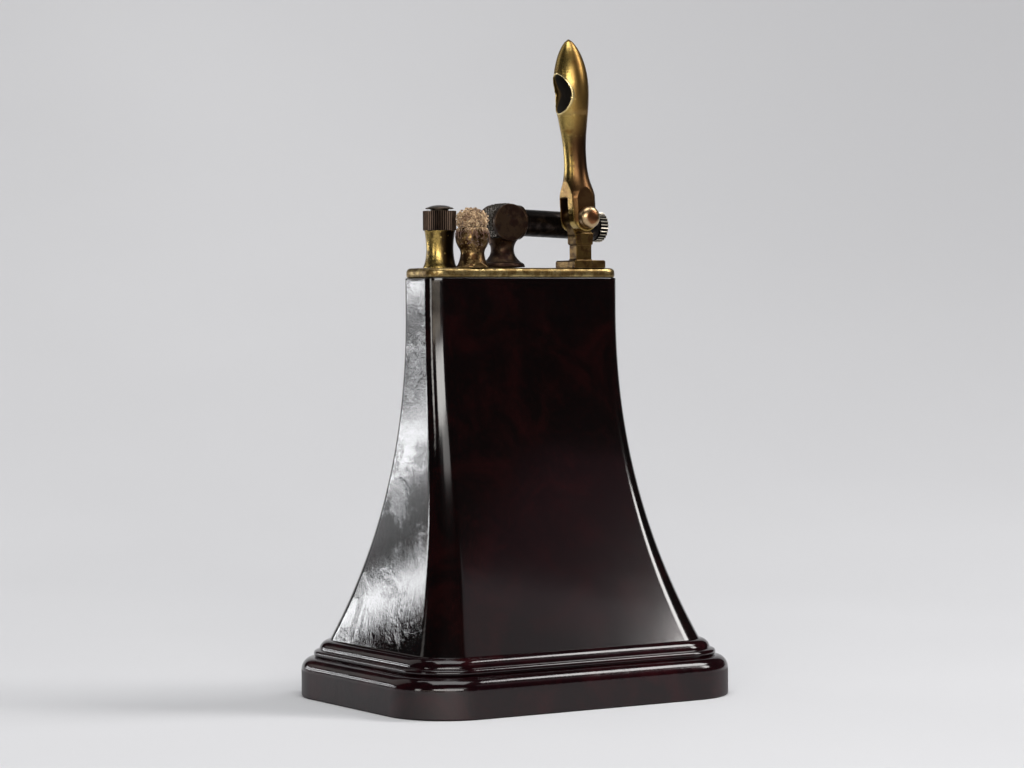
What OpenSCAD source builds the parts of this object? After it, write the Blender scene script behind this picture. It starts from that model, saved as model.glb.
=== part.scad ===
// Table lighter with a lift arm, on a tapered bakelite body.
// Origin: centre of the plinth's underside. +X runs along the wide front, +Y to the back, +Z up.
// The arm stands open as stored and closes towards -X.

/* [Body] */
// Height of the body's top above the table
body_top_z = 77; // [72:0.5:84]
// Length of the body at its top
body_top_len = 41; // [40:0.2:44]
// Depth of the body at its top
body_top_wid = 12; // [11.8:0.1:13]
// Corner radius at the body's top
body_top_r = 3.1; // [2.4:0.1:3.6]
// Length of the body where it meets the plinth
body_foot_len = 58.8; // [55:0.2:60]
// Depth of the body where it meets the plinth
body_foot_wid = 44; // [38:0.2:46]
// Corner radius where the body meets the plinth
body_foot_r = 6.4; // [5:0.1:8]
// Height of the straight neck below the body's top
body_neck_h = 6; // [3:0.5:12]
// How late the length flares out towards the foot
flare_power_len = 2.55; // [2:0.05:3]
// How late the depth flares out towards the foot
flare_power_wid = 1.93; // [1.6:0.05:2.4]
// Bakelite wall at the body's top
wall_top = 1.3; // [1.1:0.1:1.5]
// Bakelite wall at the body's foot
wall_foot = 3.2; // [2.4:0.1:4]
// Rounding of the body's top edge
body_edge_r = 0.4; // [0.2:0.05:0.6]

/* [Plinth] */
// Length of the plinth
plinth_len = 70; // [68:0.5:76]
// Depth of the plinth
plinth_wid = 54; // [52:0.5:60]
// Corner radius of the plinth
plinth_r = 12; // [10:0.5:14]
// Height of the plinth, up to the body's foot
plinth_h = 10.4; // [10:0.1:12]
// Height of the lower step's upright side
step_side_h = 5; // [4:0.1:5.4]
// Rounding of the lower step's top edge
step_round_r = 2.3; // [1.8:0.1:2.4]
// Radius of the small middle bead
bead_r = 0.62; // [0.5:0.02:0.7]
// Radius of the quarter round under the body
cove_r = 2; // [1.6:0.1:2.2]
// Width of the step between the bead and the quarter round
bead_step = 1; // [0.85:0.05:1.1]
// Break of the plinth's lower edge
plinth_edge = 0.3; // [0.2:0.05:0.5]
// Width of the ledge that carries the base cover
ledge_w = 2.2; // [1.6:0.1:3]
// Thickness of the steel base cover
cover_t = 1.6; // [1:0.1:2]
// Thickness of the felt
felt_t = 1.1; // [0.8:0.1:1.5]
// How far the felt stays above the table
felt_lift = 0.1; // [0.05:0.05:0.3]
// Clearance round the cover and the felt
cover_gap = 0.25; // [0.1:0.05:0.4]

/* [Top plate] */
// How far the plate stays inside the body's top
plate_inset = 0.2; // [0.1:0.05:0.5]
// Thickness of the plate
plate_t = 1.8; // [1.4:0.1:2.2]
// Rounding of the plate's upper edge
plate_edge_r = 0.8; // [0.5:0.05:0.9]
// Rounding of the plate's lower edge
plate_under_r = 0.4; // [0.2:0.05:0.5]

/* [Fuel tank] */
// Depth of the tank below the plate
tank_h = 44; // [36:0.5:46]
// Wall of the tank
tank_wall = 0.4; // [0.3:0.05:0.5]
// Clearance of the tank in the body
tank_gap = 0.15; // [0.1:0.05:0.2]
// Radius of the tie bolt's shank
tie_bolt_r = 1.6; // [1.4:0.1:2]
// Radius of the tie bolt's countersunk head
tie_head_r = 3; // [2.6:0.1:3.4]
// Height of the threaded boss under the tank
tank_boss_h = 5; // [4:0.5:6]

/* [Filler] */
// Distance of the filler from the plate's left end
filler_inset = 6.9; // [6.5:0.1:7.1]
// Distance of the filler behind the plate's middle
filler_y = 3.3; // [3.25:0.05:3.35]
// Foot radius of the filler pillar
filler_foot_r = 3.1; // [2.9:0.1:3.3]
// Waist radius of the filler pillar
filler_waist_r = 2.5; // [2.3:0.1:2.6]
// Radius under the cap
filler_lip_r = 2.85; // [2.7:0.05:2.95]
// Height of the filler pillar above the plate
filler_h = 6.95; // [6.6:0.05:7.2]
// Radius of the threaded neck inside the cap
filler_neck_r = 2; // [1.8:0.1:2.1]
// Height of the threaded neck
filler_neck_h = 2.85; // [2.6:0.05:3]
// Radius of the knurled cap
cap_r = 3.07; // [2.95:0.01:3.12]
// Height of the knurled cap
cap_h = 3.55; // [3.45:0.05:3.9]
// Number of flutes round the cap
cap_flutes = 44; // [36:2:52]
// Depth of a flute
flute_depth = 0.16; // [0.1:0.02:0.2]
// Radius of the domed screw's head
dome_r = 2.6; // [2.3:0.05:2.7]
// Height of the domed screw's head
dome_h = 0.72; // [0.6:0.02:0.9]
// Gap under the domed head
dome_gap = 0.37; // [0.3:0.01:0.5]
// Thickness of the seal under the cap
seal_t = 0.35; // [0.25:0.05:0.4]

/* [Burner and wick] */
// Foot radius of the burner pillar
burner_foot_r = 3; // [2.8:0.1:3.1]
// Neck radius of the burner pillar
burner_neck_r = 2.15; // [2:0.05:2.3]
// Largest radius of the burner's cup
burner_cup_r = 3.1; // [3:0.05:3.15]
// Radius of the cup's rim
burner_rim_r = 2.8; // [2.7:0.05:2.9]
// Radius of the wick in the neck
wick_r = 1.45; // [1.3:0.05:1.5]
// Radius of the tuft
tuft_r = 2.3; // [2.1:0.05:2.35]
// Height of the tuft above the burner's rim
tuft_h = 3.7; // [3.2:0.1:3.8]

/* [Striker] */
// Distance from the arm's pivot to the wheel's axle along the plate
wheel_reach = 13.05; // [12.9:0.05:13.2]
// Height of the wheel's axle above the plate
wheel_axle_h = 8.5; // [8.3:0.1:8.7]
// Radius of the toothed wheel
wheel_r = 3.58; // [3.5:0.02:3.62]
// Width of the toothed wheel
wheel_w = 3.9; // [3.6:0.1:4.1]
// Number of teeth on the wheel
wheel_teeth = 30; // [24:2:36]
// Depth of the teeth
tooth_depth = 0.3; // [0.2:0.02:0.34]
// Radius of the housing's cheeks
cheek_r = 3.42; // [3.3:0.02:3.46]
// Thickness of each cheek
cheek_t = 1.1; // [0.9:0.05:1.2]
// Side clearance of the wheel
wheel_gap = 0.1; // [0.08:0.02:0.12]
// Radius of the axle
axle_r = 0.8; // [0.7:0.05:0.9]
// Outer radius of the boss that holds the tube
boss_r = 3.2; // [3:0.02:3.24]
// Distance from the wheel's axle to the boss's end
boss_reach = 4; // [3.9:0.05:4.3]
// Foot radius of the housing's pillar
housing_foot_r = 4.2; // [4:0.1:4.4]
// Neck radius of the housing's pillar
housing_neck_r = 2.15; // [2:0.05:2.3]

/* [Flint tube] */
// Outer radius of the tube
tube_r = 2.5; // [2.4:0.02:2.54]
// Bore radius of the tube
tube_bore_r = 1.6; // [1.5:0.02:1.7]
// Distance from the wheel's axle to the tube's far end
tube_reach = 20.2; // [19.8:0.05:20.6]
// How far the tube droops towards its far end, in degrees
tube_droop = 2.2; // [1.8:0.1:2.6]
// How far the tube's line passes above the wheel's axle
tube_rise = 0.2; // [0.1:0.05:0.3]
// Radius of the flint
flint_r = 1.3; // [1.2:0.02:1.34]
// Length of the flint
flint_len = 4.2; // [3.5:0.1:4.6]
// Length of the plunger's head
plunger_len = 1.6; // [1.2:0.1:2]
// Wire radius of the flint spring
spring_wire_r = 0.18; // [0.16:0.01:0.2]
// Number of curls of the flint spring
spring_curls = 7; // [6:1:8]
// Radius of the knurled knob
knob_r = 2.84; // [2.7:0.01:2.9]
// Thickness of the knurled knob
knob_t = 1.65; // [1.4:0.05:1.9]
// Number of teeth round the knob
knob_teeth = 26; // [22:2:30]

/* [Pivot post] */
// Distance of the arm's pivot from the plate's right end
pivot_inset = 7.6; // [7.4:0.05:7.8]
// Height of the pivot above the plate
pivot_h = 9.35; // [9.3:0.05:9.5]
// Distance of the post in front of the plate's middle
post_y = 2.35; // [2.3:0.05:2.4]
// How far the post's middle stands to the right of the pivot
post_offset = 0.95; // [0.8:0.05:1.1]
// Length of the post's foot
post_foot_len = 6.8; // [6.4:0.1:7]
// Depth of the post's foot
post_foot_wid = 6.65; // [6.4:0.05:6.8]
// Thickness of the post's foot
post_foot_t = 1.45; // [1.3:0.05:1.6]
// Depth of the block below the fork
shank_wid = 2.9; // [2.7:0.1:3.1]
// How far the block stands out over the shank below it
shank_step = 0.2; // [0.1:0.05:0.25]
// Height of the block's lower edge above the plate
shank_ledge_h = 4.4; // [4:0.1:4.6]
// Thickness of the tongue in the fork
tongue_t = 2.36; // [2.3:0.02:2.4]
// Radius of the tongue's round front
tongue_r = 2.15; // [2:0.05:2.2]

/* [Lift arm] */
// How far the open arm leans from upright, in degrees
arm_lean = 3.4; // [0:0.1:4]
// Length of the arm above its pivot
arm_len = 33.15; // [33:0.05:34]
// Distance from the pivot to the middle of the snuffer cup
cup_reach = 23.05; // [22.9:0.05:23.2]
// Largest radius of the arm at the snuffer cup
arm_head_r = 3.26; // [3.2:0.02:3.28]
// Smallest radius of the arm's neck
arm_neck_r = 2.1; // [2:0.02:2.14]
// How much the arm widens from its neck to the fork
arm_flare = 1; // [0.8:0.05:1.05]
// Distance from the pivot to the thinnest place of the neck
arm_neck_reach = 11.45; // [11:0.05:12]
// Distance of the arm's line in front of the plate's middle
arm_y = 3.2; // [3.15:0.05:3.25]
// Length of the fork across the arm
fork_len = 5; // [4.8:0.05:5.1]
// Depth of the fork over both cheeks
fork_wid = 5.7; // [5.6:0.02:5.8]
// Width of the slot in the fork
slot_w = 2.5; // [2.48:0.01:2.54]
// Height of the slot above the pivot
slot_h = 3.75; // [3.7:0.01:3.8]
// Half width of the snuffer's mouth
cup_r = 2.74; // [2.7:0.01:2.78]
// Half length of the snuffer's mouth along the arm
cup_half_len = 3.6; // [3.5:0.02:3.8]
// Width of the lip round the mouth
lip_w = 0.22; // [0.15:0.01:0.3]
// How far the lip stands out of the arm
lip_h = 0.1; // [0.06:0.01:0.14]
// Depth of the hollow past the arm's line
cup_depth = 2.2; // [2.15:0.01:2.3]
// Rounding of the hollow's floor
cup_floor_r = 1.7; // [1.5:0.05:1.75]
// Radius of the pivot screw's shank
pivot_screw_r = 0.9; // [0.8:0.05:1]
// Radius of the pivot screw's head
screw_head_r = 2.02; // [1.9:0.02:2.2]
// Height of the pivot screw's head
screw_head_h = 1.9; // [1.6:0.05:2.1]

/* [Hidden] */
$fn = 48;

// Clearances
run_gap = 0.05;
seat_gap = 0.02;
washer_t = 0.25;
close_gap = 0.3;
thread_end_gap = 0.1;
cut = 1;

// Small forms that several pieces share
foot_rim = 0.25;
rivet_sink = 0.45;

// Levels and places that follow from the sizes above
plate_z = body_top_z + plate_t;
plate_len = body_top_len - 2 * plate_inset;
plate_wid = body_top_wid - 2 * plate_inset;
plate_r = body_top_r - plate_inset;
filler_x = filler_inset - plate_len / 2;
pivot_x = plate_len / 2 - pivot_inset;
wheel_x = pivot_x - wheel_reach;
wheel_y = plate_wid / 2 - cheek_t - wheel_gap - wheel_w / 2;
wheel_z = plate_z + wheel_axle_h;
wheel_slot = wheel_w + 2 * wheel_gap;
pivot_z = plate_z + pivot_h;
burner_x = pivot_x - cup_reach;
mouth_reach = sqrt(pow(arm_head_r, 2) - pow(cup_r, 2));
mouth_z = pivot_z - mouth_reach;
burner_rim_z = mouth_z - close_gap;
cap_z = plate_z + filler_h;
neck_top_z = cap_z + filler_neck_h;
tank_len = body_top_len - 2 * (wall_top + tank_gap);
tank_wid = body_top_wid - 2 * (wall_top + tank_gap);
tank_r = body_top_r - wall_top - tank_gap;
tank_z = body_top_z - tank_h;
feed_r = tank_wid / 2 - tank_wall - max(arm_y, filler_y);
cover_z = felt_lift + felt_t;
cover_len = body_foot_len - 2 * wall_foot + 2 * ledge_w;
cover_wid = body_foot_wid - 2 * wall_foot + 2 * ledge_w;
cover_r = body_foot_r - wall_foot + ledge_w;

// Body outline at a height: t runs from 0 at the end of the straight neck to 1 at the foot
function flare_t(z) = max(0, (body_top_z - body_neck_h - z) / (body_top_z - body_neck_h - plinth_h));
function flare_len(z) = pow(flare_t(z), flare_power_len);
function flare_wid(z) = pow(flare_t(z), flare_power_wid);
function body_half_len(z) = (body_top_len + (body_foot_len - body_top_len) * flare_len(z)) / 2;
function body_half_wid(z) = (body_top_wid + (body_foot_wid - body_top_wid) * flare_wid(z)) / 2;
function body_corner(z) = body_top_r + (body_foot_r - body_top_r) * (flare_len(z) + flare_wid(z)) / 2;
function body_wall(z) = wall_top + (wall_foot - wall_top) * pow(flare_t(z), 2);

// One ring of points round a rounded rectangle, pulled in by an inset
corner_steps = 9;
function ring(half_len, half_wid, r, inset, z) = [
  for (corner = [0:3], i = [0:corner_steps])
    let (
      a = 90 * corner + 90 * i / corner_steps,
      sx = (corner == 0 || corner == 3) ? 1 : -1,
      sy = corner < 2 ? 1 : -1
    )
    [sx * (half_len - r) + (r - inset) * cos(a), sy * (half_wid - r) + (r - inset) * sin(a), z]
];
function body_ring(z, inset) = ring(body_half_len(z), body_half_wid(z), body_corner(z), inset, z);

// Faces between neighbouring rings of a tube that closes on itself
function tube_faces(rings, n) = [
  for (k = [0:rings - 1], i = [0:n - 1])
    let (
      after = (k + 1) % rings, j = (i + 1) % n,
      a = k * n + i, b = k * n + j, c = after * n + i, d = after * n + j
    )
    each [[a, c, b], [b, c, d]]
];

// Solid with exact rounded corners
module rounded_slab(len, wid, r, h) {
  linear_extrude(h) rounded_rect(len, wid, r);
}

module rounded_rect(len, wid, r) {
  square([len - 2 * r, wid], center = true);
  square([len, wid - 2 * r], center = true);
  for (sx = [-1, 1], sy = [-1, 1]) translate([sx * (len / 2 - r), sy * (wid / 2 - r)]) circle(r);
}

// A flat profile carried round a rounded rectangle; the profile's x starts at the corner's centre
module carried_round(len, wid, r) {
  half_x = len / 2 - r;
  half_y = wid / 2 - r;
  for (corner = [0:3]) {
    a = 90 * corner;
    sx = (corner == 0 || corner == 3) ? 1 : -1;
    sy = corner < 2 ? 1 : -1;
    translate([sx * half_x, sy * half_y, 0]) rotate([0, 0, a]) rotate_extrude(angle = 90) children();
    run = corner % 2 == 0 ? half_y : half_x;
    translate([sx * half_x, sy * half_y, 0]) rotate([0, 0, a]) rotate([90, 0, 0])
      linear_extrude(2 * run) children();
  }
}

// Points of an arc
function arc(cx, cy, r, from, to, steps) = [
  for (i = [0:steps]) let (a = from + (to - from) * i / steps) [cx + r * cos(a), cy + r * sin(a)]
];

// Trims a round foot flush with the plate's long edges
module flush_with_plate() {
  intersection() {
    children();
    translate([-plate_len, -plate_wid / 2, 0]) cube([2 * plate_len, plate_wid, 2 * body_top_z]);
  }
}

// Round bar with saw teeth or flutes on its rim
module toothed_bar(r, depth, teeth, h) {
  linear_extrude(h) polygon([
    for (i = [0:teeth - 1], k = [0:1])
      let (a = 360 * (i + 0.5 * k) / teeth, d = k == 0 ? r : r - depth) [d * cos(a), d * sin(a)]
  ]);
}

// Body and base

body_levels = 22;
wall_levels = 8;
edge_levels = 3;

module body_shell() {
  rise = body_top_z - body_edge_r - plinth_h;
  outer = [
    for (k = [0:body_levels]) body_ring(plinth_h + rise * k / body_levels, 0),
    for (k = [1:edge_levels])
      let (a = 90 * k / edge_levels)
      body_ring(body_top_z - body_edge_r * (1 - sin(a)), body_edge_r * (1 - cos(a)))
  ];
  inner = [
    for (k = [wall_levels:-1:0])
      let (z = plinth_h + (body_top_z - plinth_h) * k / wall_levels)
      body_ring(z, body_wall(z))
  ];
  rings = concat(outer, inner);
  color([0.13, 0.03, 0.03]) polyhedron(
    points = [for (one = rings) each one],
    faces = tube_faces(len(rings), len(outer[0])),
    convexity = 6
  );
}

module plinth_profile() {
  bead_z = step_side_h + step_round_r + bead_r;
  bead_x = plinth_r - step_round_r - bead_r;
  cove_z = plinth_h - cove_r;
  cove_x = bead_x + bead_r - bead_step - cove_r;
  polygon(concat(
    [[0, 0], [plinth_r - plinth_edge, 0], [plinth_r, plinth_edge]],
    arc(plinth_r - step_round_r, step_side_h, step_round_r, 0, 84, 8),
    arc(bead_x, bead_z, bead_r, -60, 75, 6),
    arc(cove_x, cove_z, cove_r, 8, 90, 7),
    [[0, plinth_h]]
  ));
}

module base_plinth() {
  hollow_len = body_foot_len - 2 * wall_foot;
  hollow_wid = body_foot_wid - 2 * wall_foot;
  color([0.2, 0.05, 0.04]) difference() {
    union() {
      carried_round(plinth_len, plinth_wid, plinth_r) plinth_profile();
      translate([0, 0, plinth_h / 2])
        cube([plinth_len - 2 * plinth_r, plinth_wid - 2 * plinth_r, plinth_h], center = true);
    }
    translate([0, 0, -cut])
      rounded_slab(hollow_len, hollow_wid, body_foot_r - wall_foot, plinth_h + 2 * cut);
    translate([0, 0, -cut]) rounded_slab(
      cover_len + 2 * cover_gap, cover_wid + 2 * cover_gap, cover_r + cover_gap, cut + cover_z + cover_t
    );
  }
}

module base_cover() {
  color([0.45, 0.45, 0.46]) translate([0, 0, cover_z]) difference() {
    rounded_slab(cover_len, cover_wid, cover_r, cover_t);
    cylinder(h = cover_t, r1 = tie_head_r + seat_gap, r2 = tie_bolt_r + seat_gap);
    translate([0, 0, -cut]) cylinder(h = cover_t + 2 * cut, r = tie_bolt_r + seat_gap);
  }
}

module felt_pad() {
  color([0.12, 0.25, 0.16]) translate([0, 0, felt_lift])
    rounded_slab(cover_len, cover_wid, cover_r, felt_t);
}

module tie_bolt() {
  shank_top = tank_z - tank_wall - thread_end_gap;
  color([0.5, 0.5, 0.5]) {
    translate([0, 0, cover_z]) cylinder(h = cover_t, r1 = tie_head_r, r2 = tie_bolt_r);
    translate([0, 0, cover_z]) cylinder(h = shank_top - cover_z, r = tie_bolt_r);
  }
}

module top_plate() {
  upper = arc(plate_r - plate_edge_r, plate_t - plate_edge_r, plate_edge_r, 0, 90, 6);
  under = arc(plate_r - plate_under_r, plate_under_r, plate_under_r, -90, 0, 4);
  color([0.75, 0.6, 0.3]) translate([0, 0, body_top_z]) difference() {
    union() {
      carried_round(plate_len, plate_wid, plate_r)
        polygon(concat([[0, 0]], under, upper, [[0, plate_t]]));
      translate([0, 0, plate_t / 2])
        cube([plate_len - 2 * plate_r, plate_wid - 2 * plate_r, plate_t], center = true);
    }
    translate([filler_x, filler_y, -cut]) cylinder(h = plate_t + 2 * cut, r = feed_r);
    translate([burner_x, -arm_y, -cut]) cylinder(h = plate_t + 2 * cut, r = feed_r);
  }
}

module fuel_tank() {
  color([0.7, 0.55, 0.28]) difference() {
    union() {
      translate([0, 0, tank_z]) rounded_slab(tank_len, tank_wid, tank_r, tank_h);
      translate([0, 0, tank_z - tank_boss_h]) cylinder(h = tank_boss_h, r = tie_head_r);
    }
    translate([0, 0, tank_z + tank_wall])
      rounded_slab(tank_len - 2 * tank_wall, tank_wid - 2 * tank_wall, tank_r - tank_wall, tank_h);
    translate([0, 0, tank_z - tank_boss_h - cut])
      cylinder(h = tank_boss_h + cut - tank_wall, r = tie_bolt_r + seat_gap);
  }
}

module tank_wadding() {
  side_gap = 0.1;
  top_gap = 3;
  color([0.9, 0.88, 0.8]) difference() {
    translate([0, 0, tank_z + tank_wall]) rounded_slab(
      tank_len - 2 * (tank_wall + side_gap), tank_wid - 2 * (tank_wall + side_gap),
      tank_r - tank_wall - side_gap, tank_h - tank_wall - top_gap
    );
    translate([burner_x, -arm_y, wick_tail_z - side_gap]) cylinder(h = tank_h, r = feed_r);
  }
}

// Filler

module filler_pillar() {
  top = filler_h;
  neck_wall = 0.6;
  color([0.72, 0.58, 0.3]) flush_with_plate() translate([filler_x, filler_y, plate_z]) difference() {
    rotate_extrude() polygon(concat(
      [[0, 0], [filler_foot_r, 0], [filler_foot_r, foot_rim]],
      [for (k = [1:8]) [filler_radius(k / 9), top * k / 9]],
      [
        [filler_lip_r, top - seat_gap], [filler_neck_r, top - seat_gap],
        [filler_neck_r, top + filler_neck_h], [0, top + filler_neck_h]
      ]
    ));
    translate([0, 0, -cut]) cylinder(h = top + filler_neck_h + 2 * cut, r = feed_r);
    translate([0, 0, top]) cylinder(h = filler_neck_h + cut, r = filler_neck_r - neck_wall);
  }
}

// The pillar draws in to its waist and opens again under the cap
function filler_radius(u) = u < 0.5
  ? filler_waist_r + (filler_foot_r - filler_waist_r) * pow(1 - 2 * u, 2)
  : filler_waist_r + (filler_lip_r - filler_waist_r) * pow(2 * u - 1, 2);

module filler_seal() {
  color([0.35, 0.22, 0.12]) translate([filler_x, filler_y, neck_top_z + seat_gap]) difference() {
    cylinder(h = seal_t, r = filler_neck_r);
    translate([0, 0, -cut]) cylinder(h = seal_t + 2 * cut, r = cap_stem_r + run_gap);
  }
}

cap_stem_r = 0.8;
cap_inside_h = filler_neck_h + seal_t + 2 * seat_gap;

module filler_cap() {
  color([0.2, 0.17, 0.15]) translate([filler_x, filler_y, cap_z]) difference() {
    toothed_bar(cap_r, flute_depth, cap_flutes, cap_h);
    translate([0, 0, -cut]) cylinder(h = cap_inside_h + cut, r = filler_neck_r + run_gap);
    cylinder(h = cap_h + cut, r = cap_stem_r);
  }
}

module cap_screw() {
  collar_r = 1.66;
  dome_edge = 0.15;
  stem_end = cap_h - cap_inside_h + seal_t + 0.3;
  crown = dome_h - dome_edge;
  sphere_r = (pow(dome_r, 2) + pow(crown, 2)) / (2 * crown);
  color([0.33, 0.29, 0.25]) translate([filler_x, filler_y, cap_z + cap_h]) {
    cylinder(h = dome_gap, r = collar_r);
    translate([0, 0, -stem_end]) cylinder(h = stem_end + dome_gap / 2, r = cap_stem_r);
    translate([0, 0, dome_gap]) intersection() {
      cylinder(h = dome_h, r = dome_r);
      translate([0, 0, dome_h - sphere_r]) sphere(sphere_r, $fn = 96);
    }
  }
}

// Burner and wick

burner_h = burner_rim_z - plate_z;
wick_step_h = 1;
burner_neck_z = 0.42 * burner_h;
burner_belly_z = 0.75 * burner_h;
cup_floor_z = 0.6 * burner_h;
wick_tail_z = tank_z + 0.6 * tank_h;

// The pillar sweeps in to the neck and out again to the cup
function burner_radius(z) = z < burner_neck_z
  ? burner_neck_r + (burner_foot_r - burner_neck_r) * pow(1 - z / burner_neck_z, 2)
  : burner_neck_r + (burner_cup_r - burner_neck_r)
    * sin(90 * min(1, (z - burner_neck_z) / (burner_belly_z - burner_neck_z)));

module burner_pillar() {
  inside_r = burner_rim_r - 0.35;
  rim_fall = 0.3;
  rim_edge = 0.1;
  color([0.45, 0.3, 0.18]) flush_with_plate() translate([burner_x, -arm_y, plate_z]) difference() {
    rotate_extrude() polygon(concat(
      [[0, 0], [burner_foot_r, 0], [burner_foot_r, foot_rim]],
      [for (k = [1:10]) [burner_radius(burner_belly_z * k / 10), burner_belly_z * k / 10]],
      [[burner_rim_r, burner_h - rim_fall], [burner_rim_r - rim_edge, burner_h], [0, burner_h]]
    ));
    translate([0, 0, -cut]) cylinder(h = burner_h, r = feed_r);
    translate([0, 0, wick_step_h]) cylinder(h = burner_h, r = wick_r + run_gap);
    translate([0, 0, cup_floor_z])
      cylinder(h = burner_h - cup_floor_z + 0.01, r1 = wick_r + run_gap, r2 = inside_r);
  }
}

module wick() {
  tail_r = feed_r - 2 * run_gap;
  rim_h = burner_h - cup_floor_z;
  belly_r = 0.9;
  crown_r = 1.1;
  belly_z = rim_h + 0.6;
  color([0.85, 0.76, 0.6]) translate([burner_x, -arm_y, 0]) {
    translate([0, 0, wick_tail_z]) cylinder(h = plate_z + wick_step_h + 0.1 - wick_tail_z, r = tail_r);
    translate([0, 0, plate_z + wick_step_h + seat_gap]) cylinder(h = cup_floor_z - wick_step_h, r = wick_r);
    translate([0, 0, plate_z + cup_floor_z]) rotate_extrude() polygon(concat(
      [[0, 0], [wick_r, 0], [wick_r + 0.1, rim_h - 0.8]],
      arc(tuft_r - belly_r, belly_z, belly_r, -60, 0, 3),
      arc(tuft_r - crown_r, rim_h + tuft_h - crown_r, crown_r, 0, 90, 5),
      [[0, rim_h + tuft_h]]
    ));
  }
}

// Striker

rivet_r = axle_r + 0.7;

module on_wheel_axis() {
  translate([wheel_x, wheel_y, wheel_z]) rotate([-90, 0, 0]) children();
}

// Places its children with +Z along the flint tube, away from the wheel
module along_tube(distance) {
  translate([wheel_x, wheel_y, wheel_z + tube_rise]) rotate([0, 90 + tube_droop, 0])
    translate([0, 0, distance]) children();
}

module wheel_housing() {
  drum_w = wheel_slot + 2 * cheek_t;
  crown_z = wheel_axle_h - cheek_r + 0.5;
  neck_z = 0.41 * wheel_axle_h;
  sweep = 2.2;
  boss_edge = 0.35;
  foot_round_r = 0.9;
  foot_in_r = housing_foot_r - foot_round_r * (1 - cos(75));
  foot_in_z = foot_rim + foot_round_r * sin(75);
  color([0.42, 0.33, 0.24]) flush_with_plate() difference() {
    union() {
      on_wheel_axis() cylinder(h = drum_w, r = cheek_r, center = true);
      along_tube(0) rotate_extrude() polygon([
        [0, 0], [boss_r, 0], [boss_r, boss_reach - boss_edge],
        [boss_r - boss_edge, boss_reach], [0, boss_reach]
      ]);
      translate([wheel_x, wheel_y, plate_z]) rotate_extrude() polygon(concat(
        [[0, 0]],
        arc(housing_foot_r - foot_round_r, foot_rim, foot_round_r, 0, 75, 5),
        [
          for (k = [1:7])
            let (u = k / 7, flare = (foot_in_r - housing_neck_r) * pow(1 - u, sweep))
            [housing_neck_r + flare, foot_in_z + (neck_z - foot_in_z) * u]
        ],
        [
          for (k = [1:7])
            let (u = k / 7, flare = (drum_w / 2 - housing_neck_r) * pow(u, sweep))
            [housing_neck_r + flare, neck_z + (crown_z - neck_z) * u]
        ],
        [[0, crown_z]]
      ));
    }
    on_wheel_axis() cylinder(h = wheel_slot, r = wheel_r + wheel_gap, center = true);
    on_wheel_axis() translate([0, 0, -wheel_slot / 2 - rivet_sink - run_gap])
      cylinder(h = drum_w, r = axle_r + seat_gap);
    on_wheel_axis() translate([0, 0, drum_w / 2 - rivet_sink]) cylinder(h = cut, r = rivet_r + run_gap);
    along_tube(0) cylinder(h = tube_reach, r = tube_r + seat_gap);
  }
}

module striker_wheel() {
  groove_w = 0.22;
  grooves = 4;
  color([0.2, 0.19, 0.19]) on_wheel_axis() difference() {
    translate([0, 0, -wheel_w / 2]) toothed_bar(wheel_r, tooth_depth, wheel_teeth, wheel_w);
    cylinder(h = wheel_w + cut, r = axle_r + run_gap, center = true);
    for (k = [1:grooves]) translate([0, 0, wheel_w * (k / (grooves + 1) - 0.5)]) difference() {
      cylinder(h = groove_w, r = wheel_r + cut, center = true);
      cylinder(h = wheel_w, r = wheel_r - tooth_depth, center = true);
    }
  }
}

module wheel_axle() {
  head_t = 0.4;
  shank_len = wheel_slot + cheek_t + rivet_sink - head_t;
  color([0.5, 0.45, 0.4]) on_wheel_axis() difference() {
    union() {
      translate([0, 0, -wheel_slot / 2 - rivet_sink]) cylinder(h = shank_len, r = axle_r);
      translate([0, 0, wheel_slot / 2 + cheek_t - head_t]) cylinder(h = head_t, r = rivet_r);
    }
    translate([0, 0, wheel_slot / 2 + cheek_t]) cube([2 * rivet_r + cut, 0.3, head_t], center = true);
  }
}

// Flint tube and what it holds

flint_gap = 0.08;
flint_start = wheel_r + flint_gap;
plunger_start = flint_start + flint_len;
spring_start = plunger_start + plunger_len;
screw_stem_len = 3.6;
spring_end = tube_reach - screw_stem_len;
tube_start = 1.6;

module flint_tube() {
  color([0.1, 0.09, 0.1]) difference() {
    along_tube(tube_start) cylinder(h = tube_reach - tube_start, r = tube_r);
    along_tube(0) cylinder(h = tube_reach + cut, r = tube_bore_r);
    on_wheel_axis() cylinder(h = wheel_slot, r = wheel_r + wheel_gap, center = true);
  }
}

module flint() {
  color([0.35, 0.33, 0.32]) difference() {
    along_tube(flint_start - 1) cylinder(h = flint_len + 1, r = flint_r);
    on_wheel_axis() cylinder(h = wheel_slot, r = wheel_r + flint_gap, center = true);
  }
}

module flint_plunger() {
  pin_r = 0.6;
  pin_len = 1.6;
  color([0.6, 0.5, 0.3]) along_tube(plunger_start + seat_gap) {
    cylinder(h = plunger_len - seat_gap, r = flint_r);
    cylinder(h = plunger_len + pin_len, r = pin_r);
  }
}

// One unbroken wire: 6 sides, 8 rings to a curl
coil_r = tube_bore_r - spring_wire_r - 0.2;
coil_from = spring_start + spring_wire_r + seat_gap;
coil_to = spring_end - spring_wire_r - seat_gap;
coil_pitch = (coil_to - coil_from) / spring_curls;
echo(str("least gap between the spring's curls: ", coil_pitch - 2 * spring_wire_r, " mm"));

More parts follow.
